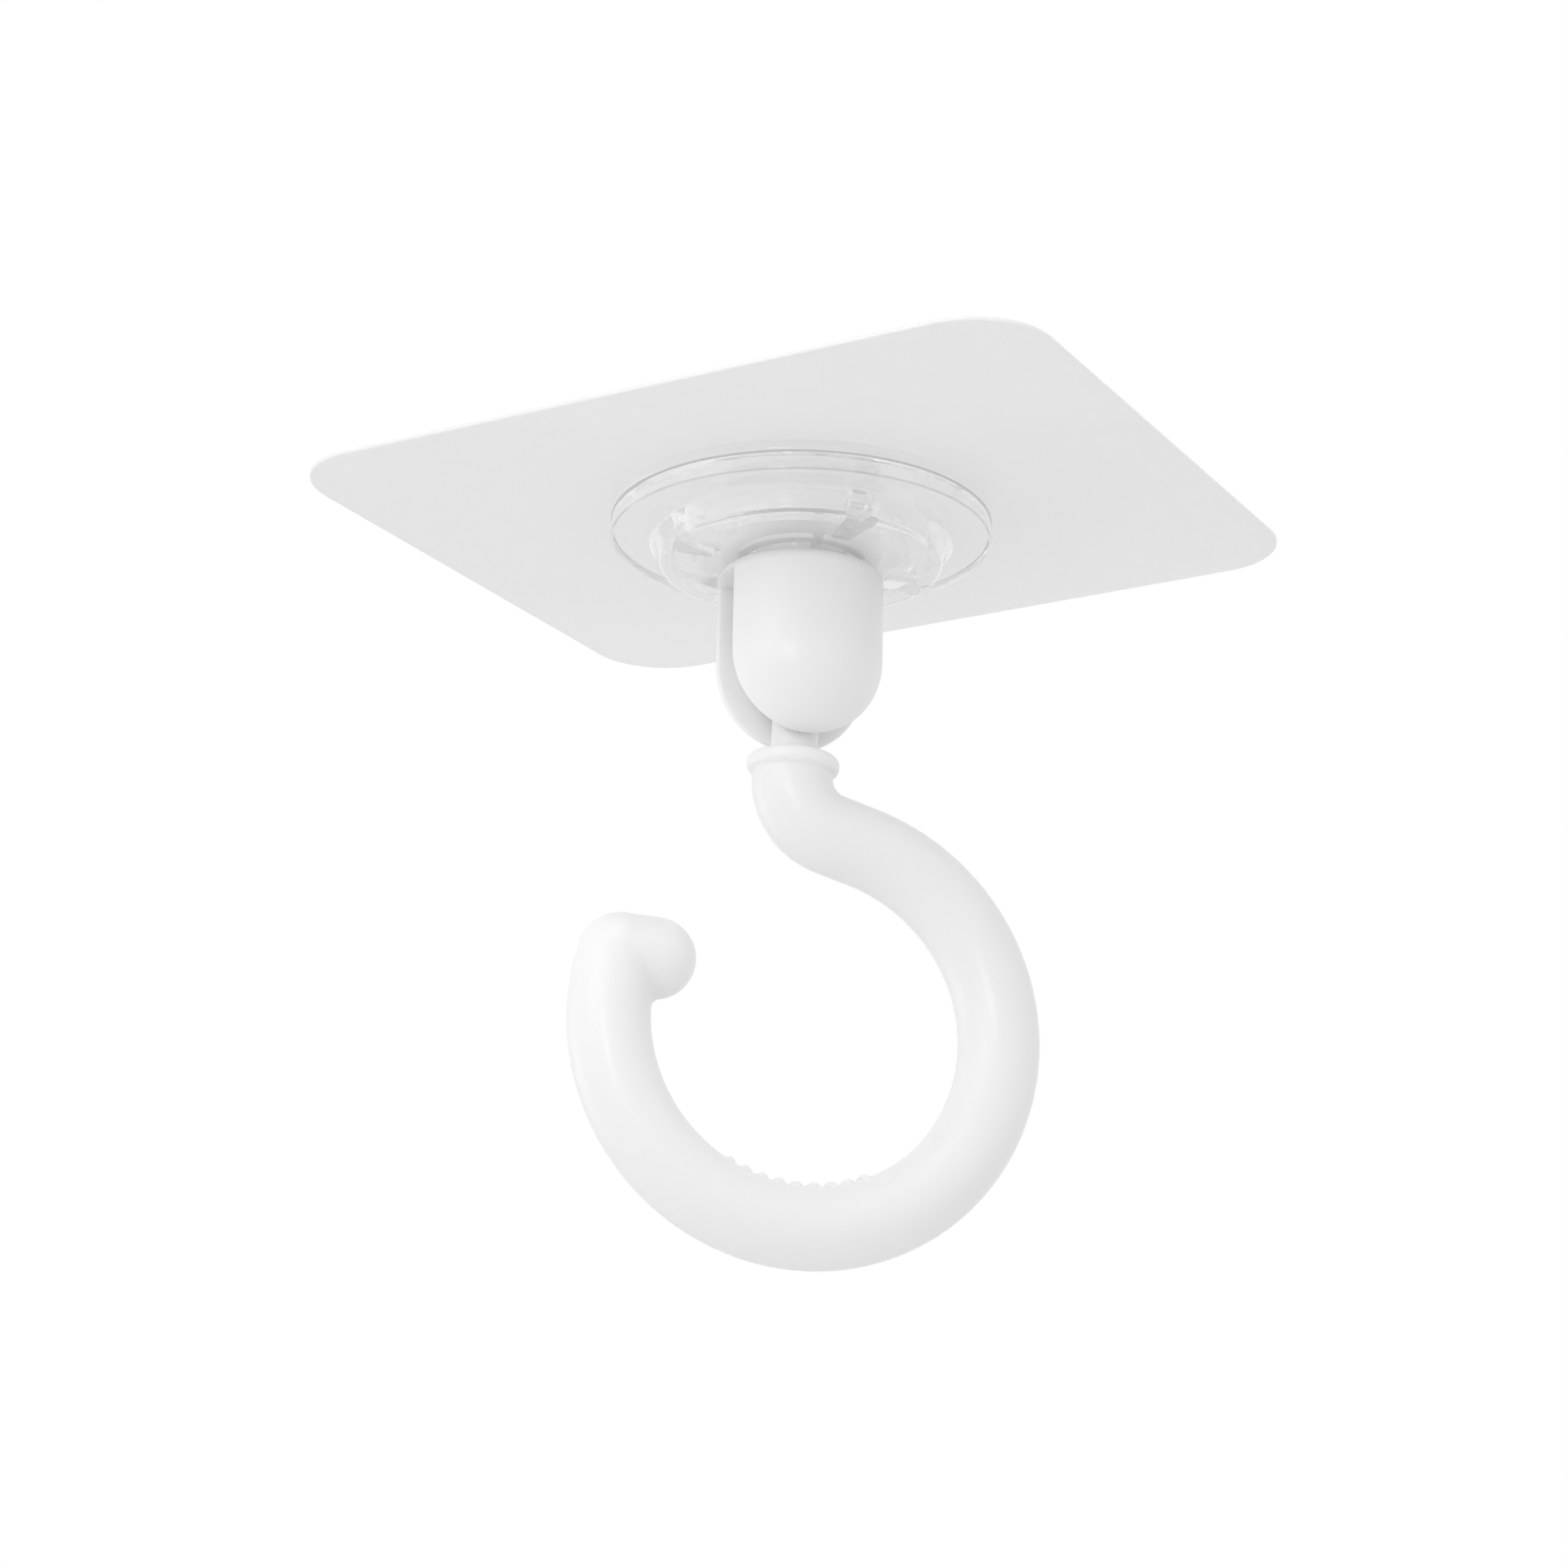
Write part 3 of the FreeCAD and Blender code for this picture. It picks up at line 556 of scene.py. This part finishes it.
def white_plastic(finishes):
    """White moulded plastic with orange peel and a fine parting line in the hook's own plane."""
    made = bpy.data.materials.get("moulded_white")
    if made:
        return made
    material, tree, shader = new_material("moulded_white")
    set_inputs(
        shader, IOR=1.5, Subsurface_Weight=0.7, Subsurface_Radius=(1.0, 1.0, 1.0),
        Subsurface_Scale=2.0 * MM
    )
    grain = group_node(
        tree, moulded_grain(), Peel_Size=650.0, Peel_Depth=0.35, Roughness=0.29,
        Roughness_Change=0.08
    )
    darker = [channel * CLOUD_TONE for channel in finishes.white[:3]] + [1.0]
    clouds = noise_node(tree, scale=60.0, detail=2.0)
    tint = colour_node(tree, clouds, darker, finishes.white[:])
    turned = tree.nodes.new("ShaderNodeMapping")
    turned.inputs["Rotation"].default_value = (0, 0, HOOK_PLANE_TURN)
    tree.links.new(object_place(tree), turned.inputs["Vector"])
    split = tree.nodes.new("ShaderNodeSeparateXYZ")
    tree.links.new(turned.outputs["Vector"], split.inputs[0])
    away = math_node(tree, "ABSOLUTE", split.outputs["Y"])
    seam = range_node(tree, away, [half * MM for half in SEAM_HALF], (SEAM_HEIGHT, 0.0))
    height = math_node(tree, "ADD", seam, grain["Height"])
    tree.links.new(tint, shader.inputs["Base Color"])
    tree.links.new(grain["Roughness"], shader.inputs["Roughness"])
    bump(tree, shader, height, distance=0.05 * MM)
    return material


def clear_plastic(finishes):
    """Clear moulded plastic with painted shade lines on its rims; soft light passes straight
    through it and none stays trapped.
    """
    made = bpy.data.materials.get("moulded_clear")
    if made:
        return made
    material, tree, shader = new_material("moulded_clear")
    set_inputs(
        shader, IOR=1.2, Transmission_Weight=0.8, Coat_Weight=1.0, Coat_IOR=1.5,
        Coat_Roughness=0.04
    )
    rim = (COVER_HIGH.x - RIM_LINE_DEPTH) * MM
    joint_height = (COVER_HIGH.z - JOINT_LINE_BELOW) * MM
    edge_height = (PLATE_UNDER + EDGE_LINE_ABOVE) * MM
    # Painted shade: dark lines on the rims at the joint and at the cover's lower edge, darker
    # than the real gap and rounding alone would shade them
    joint = group_node(tree, rim_line(), Height=joint_height, Rim=rim, Strength=0.6)
    edge = group_node(tree, rim_line(), Height=edge_height, Rim=rim, Strength=0.4)
    lines = math_node(tree, "MAXIMUM", joint["Line"], edge["Line"])
    tint = colour_node(tree, lines, finishes.clear[:], RIM_SHADE)
    grain = group_node(
        tree, moulded_grain(), Peel_Size=260.0, Peel_Depth=0.5, Roughness=0.01,
        Roughness_Change=0.03
    )
    tree.links.new(tint, shader.inputs["Base Color"])
    tree.links.new(grain["Roughness"], shader.inputs["Roughness"])
    bump(tree, shader, grain["Height"], distance=0.04 * MM)
    path = tree.nodes.new("ShaderNodeLightPath").outputs
    soft = math_node(tree, "MAXIMUM", path["Is Shadow Ray"], path["Is Diffuse Ray"])
    trapped = math_node(tree, "GREATER_THAN", path["Ray Depth"], TRAPPED_BOUNCES)
    through = tree.nodes.new("ShaderNodeBsdfTransparent")
    through.inputs["Color"].default_value = (1.0, 1.0, 1.0, 1.0)
    mix = tree.nodes.new("ShaderNodeMixShader")
    tree.links.new(math_node(tree, "MAXIMUM", soft, trapped), mix.inputs["Fac"])
    tree.links.new(shader.outputs[0], mix.inputs[1])
    tree.links.new(through.outputs[0], mix.inputs[2])
    tree.links.new(mix.outputs[0], tree.nodes["Material Output"].inputs["Surface"])
    return material


def clear_film(finishes):
    """Milky clear film with a satin grain and a faint cloud in what it hides."""
    material, tree, shader = new_material("milky_film")
    set_inputs(shader, Base_Color=finishes.film[:], IOR=1.45)
    grain = group_node(
        tree, moulded_grain(), Peel_Size=420.0, Peel_Depth=0.4, Roughness=0.16,
        Roughness_Change=0.06
    )
    clouds = noise_node(tree, scale=45.0, detail=3.0)
    covers = [finishes.film_cover + change for change in (-FILM_COVER_CHANGE, FILM_COVER_CHANGE)]
    cover = range_node(tree, clouds, FILM_CLOUD, covers, "LINEAR")
    tree.links.new(cover, shader.inputs["Alpha"])
    tree.links.new(grain["Roughness"], shader.inputs["Roughness"])
    bump(tree, shader, grain["Height"], distance=0.03 * MM)
    return material


def floor_paper():
    """Matt pale paper that fades out far from the hook, so that it has no horizon line."""
    material, tree, shader = new_material("floor_paper")
    shader.inputs["Roughness"].default_value = 0.9
    seen = tree.nodes.new("ShaderNodeLightPath").outputs["Is Camera Ray"]
    tone = colour_node(tree, seen, FLOOR_BOUNCE, FLOOR_SEEN)
    reach = length_node(tree, object_place(tree))
    tree.links.new(tone, shader.inputs["Base Color"])
    tree.links.new(range_node(tree, reach, FLOOR_FADE, (1.0, 0.0)), shader.inputs["Alpha"])
    return material


class HOOK_OT_adhesive_sheet(bpy.types.Operator):
    """Clear sheet with round corners and a softened cut edge"""

    bl_idname = "ceiling_hook.adhesive_sheet"
    bl_label = "Adhesive sheet"

    def execute(self, context):
        sizes = context.scene.hook_sheet
        deselect()
        middle = (SHEET_LOW + SHEET_HIGH) / 2
        bpy.ops.mesh.primitive_plane_add(
            size=1, location=(middle.x * MM, middle.y * MM, SHEET_HIGH.z * MM)
        )
        sheet = bpy.context.object
        sheet.name = "clear_sheet"
        sheet.scale = ((SHEET_HIGH.x - SHEET_LOW.x) * MM, (SHEET_HIGH.y - SHEET_LOW.y) * MM, 1)
        apply_place(sheet)
        edit(sheet, "VERT")
        bpy.ops.mesh.select_all(action="SELECT")
        bpy.ops.mesh.bevel(
            offset=sizes.corner * MM, segments=CORNER_SEGMENTS, profile=0.5, affect="VERTICES"
        )
        bpy.ops.mesh.select_all(action="SELECT")
        drop = (SHEET_LOW.z - SHEET_HIGH.z) * MM
        bpy.ops.mesh.extrude_region_move(TRANSFORM_OT_translate={"value": (0, 0, drop)})
        face_outwards(sheet)
        apply_modifier(
            sheet, "BEVEL", width=sizes.edge * MM, segments=EDGE_SEGMENTS,
            limit_method="ANGLE", angle_limit=SHEET_EDGE_ANGLE
        )
        dress(sheet, clear_film(context.scene.hook_finishes), "clear_film", "adhesive_sheet")
        return {"FINISHED"}


class HOOK_OT_base_disc(bpy.types.Operator):
    """Clear base disc with its hub and lugs"""

    bl_idname = "ceiling_hook.base_disc"
    bl_label = "Base disc"

    def execute(self, context):
        sizes = context.scene.hook_discs
        top = BASE_HIGH.z + sizes.bonding
        under = COVER_HIGH.z
        hub_end = BASE_LOW.z
        rim = BASE_HIGH.x
        section = [
            (rim, top), (rim, under), (HUB_RADIUS, under), (HUB_RADIUS, hub_end),
            (HUB_BORE_RADIUS, hub_end), (HUB_BORE_RADIUS, under),
        ]
        disc = turned_piece("clear_base", section, sizes.steps)
        close_disc(disc)
        round_rings(disc, [(rim, top), (rim, under)], sizes.rim_rounding, RIM_SEGMENTS)
        lug_radii = (HUB_RADIUS - LUG_ROOT_DEPTH, HUB_RADIUS + LUG_REACH)
        lug_heights = (hub_end, hub_end + LUG_HEIGHT)
        lugs = sector_blocks(
            "lugs", lug_radii, lug_heights, sizes.lug_angle, sizes, sizes.fine_rounding
        )
        combine(disc, lugs, "UNION")
        round_rings(disc, [(HUB_BORE_RADIUS, hub_end)], sizes.fine_rounding, FINE_SEGMENTS)
        dress(disc, clear_plastic(context.scene.hook_finishes), "clear_plastic", "base_disc")
        return {"FINISHED"}


class HOOK_OT_cover_disc(bpy.types.Operator):
    """Clear cover disc with its tapered boss, windows and ledges"""

    bl_idname = "ceiling_hook.cover_disc"
    bl_label = "Cover disc"

    def execute(self, context):
        sizes = context.scene.hook_discs
        top = COVER_HIGH.z + sizes.bonding
        face = COVER_LOW.z
        rim = COVER_HIGH.x
        joint = COVER_HIGH.z - sizes.rim_gap
        joint_end = rim - sizes.rim_gap_depth
        boss_root = (BOSS_ROOT_RADIUS, PLATE_UNDER)
        boss_edge = (BOSS_FACE_RADIUS, face)
        bore_edge = (BORE_RADIUS, CAVITY_FLOOR)
        cavity_edge = (CAVITY_RADIUS, CAVITY_FLOOR)
        section = [
            (joint_end, top), (joint_end, joint), (rim, joint), (rim, PLATE_UNDER), boss_root,
            boss_edge, (BORE_RADIUS, face), bore_edge, cavity_edge, (CAVITY_RADIUS, top),
        ]
        disc = turned_piece("clear_cover", section, sizes.steps)
        close_ring(disc)
        round_rings(disc, [(rim, joint)], sizes.rim_rounding, RIM_SEGMENTS)
        round_rings(disc, [(rim, PLATE_UNDER)], sizes.lower_rounding, LOWER_SEGMENTS)
        round_rings(disc, [boss_root, boss_edge], BOSS_ROUNDING, RIM_SEGMENTS)
        round_rings(disc, [cavity_edge, bore_edge], sizes.fine_rounding, FINE_SEGMENTS)
        ledges = sector_blocks(
            "ledges", LEDGE_RADII, LEDGE_HEIGHTS, sizes.lug_angle, sizes, sizes.fine_rounding
        )
        combine(disc, ledges, "UNION")
        window_heights = (face - WINDOW_BELOW_FACE, PLATE_UNDER - WINDOW_BELOW_PLATE)
        windows = sector_blocks(
            "windows", WINDOW_RADII, window_heights, sizes.window_angle, sizes, WINDOW_ROUNDING
        )
        combine(disc, windows, "DIFFERENCE")
        dress(disc, clear_plastic(context.scene.hook_finishes), "clear_plastic", "cover_disc")
        return {"FINISHED"}


class HOOK_OT_yoke(bpy.types.Operator):
    """White moulded finish of the yoke"""

    bl_idname = "ceiling_hook.yoke"
    bl_label = "Yoke"

    def execute(self, context):
        paint("yoke", white_plastic(context.scene.hook_finishes))
        return {"FINISHED"}


class HOOK_OT_hook(bpy.types.Operator):
    """White moulded finish of the hook"""

    bl_idname = "ceiling_hook.hook"
    bl_label = "Hook"

    def execute(self, context):
        paint("hook", white_plastic(context.scene.hook_finishes))
        return {"FINISHED"}


def add_softbox(name, azimuth, elevation, size, power):
    turn, rise = math.radians(azimuth), math.radians(elevation)
    level = math.cos(rise)
    away = Vector((math.sin(turn) * level, -math.cos(turn) * level, math.sin(rise)))
    bpy.ops.object.light_add(type="AREA", location=LAMP_AIM + away * LAMP_DISTANCE)
    lamp = bpy.context.object
    lamp.name = name
    lamp.data.size = size
    lamp.data.energy = power
    lamp.rotation_mode = "QUATERNION"
    lamp.rotation_quaternion = (-away).to_track_quat("-Z", "Y")


def add_camera():
    """Camera at the photograph's place: below the ceiling, looking up at the hook."""
    pitch, roll = math.radians(CAMERA_PITCH), math.radians(CAMERA_ROLL)
    heading = CAMERA_HEADING.normalized()
    forward = heading * math.cos(pitch) + Vector((0, 0, math.sin(pitch)))
    level = forward.cross(Vector((0, 0, 1))).normalized()
    upright = level.cross(forward)
    across = level * math.cos(roll) + upright * math.sin(roll)
    up = upright * math.cos(roll) - level * math.sin(roll)
    bpy.ops.object.camera_add()
    camera = bpy.context.object
    camera.name = "camera"
    turned = Matrix((across, up, -forward)).transposed().to_4x4()
    camera.matrix_world = Matrix.Translation(CAMERA_PLACE * MM) @ turned
    camera.data.lens = CAMERA_LENS
    camera.data.sensor_width = CAMERA_SENSOR
    camera.data.clip_start = CAMERA_NEAR
    camera.data.clip_end = CAMERA_FAR
    bpy.context.scene.camera = camera


def white_light(tree, strength):
    """Even white background of a given strength."""
    node = tree.nodes.new("ShaderNodeBackground")
    set_inputs(node, Color=(1, 1, 1, 1), Strength=strength)
    return node.outputs[0]


def add_world(ambient_strength):
    """White surroundings for the eye and in reflections, and an even ambient light."""
    world = bpy.context.scene.world or bpy.data.worlds.new("studio")
    bpy.context.scene.world = world
    world.use_nodes = True
    tree = world.node_tree
    tree.nodes.clear()
    path = tree.nodes.new("ShaderNodeLightPath").outputs
    direct = math_node(tree, "MAXIMUM", path["Is Camera Ray"], path["Is Glossy Ray"])
    seen = math_node(tree, "MAXIMUM", direct, path["Is Transmission Ray"])
    mix = tree.nodes.new("ShaderNodeMixShader")
    out = tree.nodes.new("ShaderNodeOutputWorld")
    tree.links.new(seen, mix.inputs["Fac"])
    tree.links.new(white_light(tree, ambient_strength), mix.inputs[1])
    tree.links.new(white_light(tree, 1.0), mix.inputs[2])
    tree.links.new(mix.outputs[0], out.inputs["Surface"])


class HOOK_OT_stage(bpy.types.Operator):
    """Pale floor, soft studio lamps, white surroundings and the camera"""

    bl_idname = "ceiling_hook.stage"
    bl_label = "Stage"

    def execute(self, context):
        lights = context.scene.hook_lights
        deselect()
        bpy.ops.mesh.primitive_plane_add(size=FLOOR_SIDE, location=(0, 0, lights.floor_height))
        floor = bpy.context.object
        floor.name = "floor"
        floor.data.materials.append(floor_paper())
        add_world(lights.ambient)
        for name, (azimuth, elevation, size) in LAMPS.items():
            power = getattr(lights, name + "_power")
            add_softbox(name + "_lamp", azimuth, elevation, size, power)
        add_camera()
        context.scene.view_settings.view_transform = "Standard"
        return {"FINISHED"}


class HOOK_PT_panel(bpy.types.Panel):
    """Buttons and sizes of the ceiling hook"""

    bl_label = "Ceiling Hook"
    bl_idname = "HOOK_PT_panel"
    bl_space_type = "VIEW_3D"
    bl_region_type = "UI"
    bl_category = "Ceiling Hook"

    def draw(self, context):
        for operator in OPERATORS:
            self.layout.operator(operator.bl_idname)
        for name in SETTINGS:
            group = getattr(context.scene, name)
            for field in group.bl_rna.properties.keys():
                if field not in ("rna_type", "name"):
                    self.layout.prop(group, field)


SETTINGS = {
    "hook_sheet": SheetSizes,
    "hook_discs": DiscSizes,
    "hook_finishes": Finishes,
    "hook_lights": StageLights,
}
OPERATORS = (
    HOOK_OT_adhesive_sheet,
    HOOK_OT_base_disc,
    HOOK_OT_cover_disc,
    HOOK_OT_yoke,
    HOOK_OT_hook,
    HOOK_OT_stage,
)


def register():
    for name, group in SETTINGS.items():
        bpy.utils.register_class(group)
        setattr(bpy.types.Scene, name, bpy.props.PointerProperty(type=group))
    for item in (*OPERATORS, HOOK_PT_panel):
        bpy.utils.register_class(item)


def unregister():
    for item in reversed((*OPERATORS, HOOK_PT_panel)):
        bpy.utils.unregister_class(item)
    for name, group in SETTINGS.items():
        delattr(bpy.types.Scene, name)
        bpy.utils.unregister_class(group)


def main():
    register()
    bpy.ops.ceiling_hook.adhesive_sheet()
    bpy.ops.ceiling_hook.base_disc()
    bpy.ops.ceiling_hook.cover_disc()
    bpy.ops.ceiling_hook.yoke()
    bpy.ops.ceiling_hook.hook()
    bpy.ops.ceiling_hook.stage()


if __name__ == "__main__":
    main()
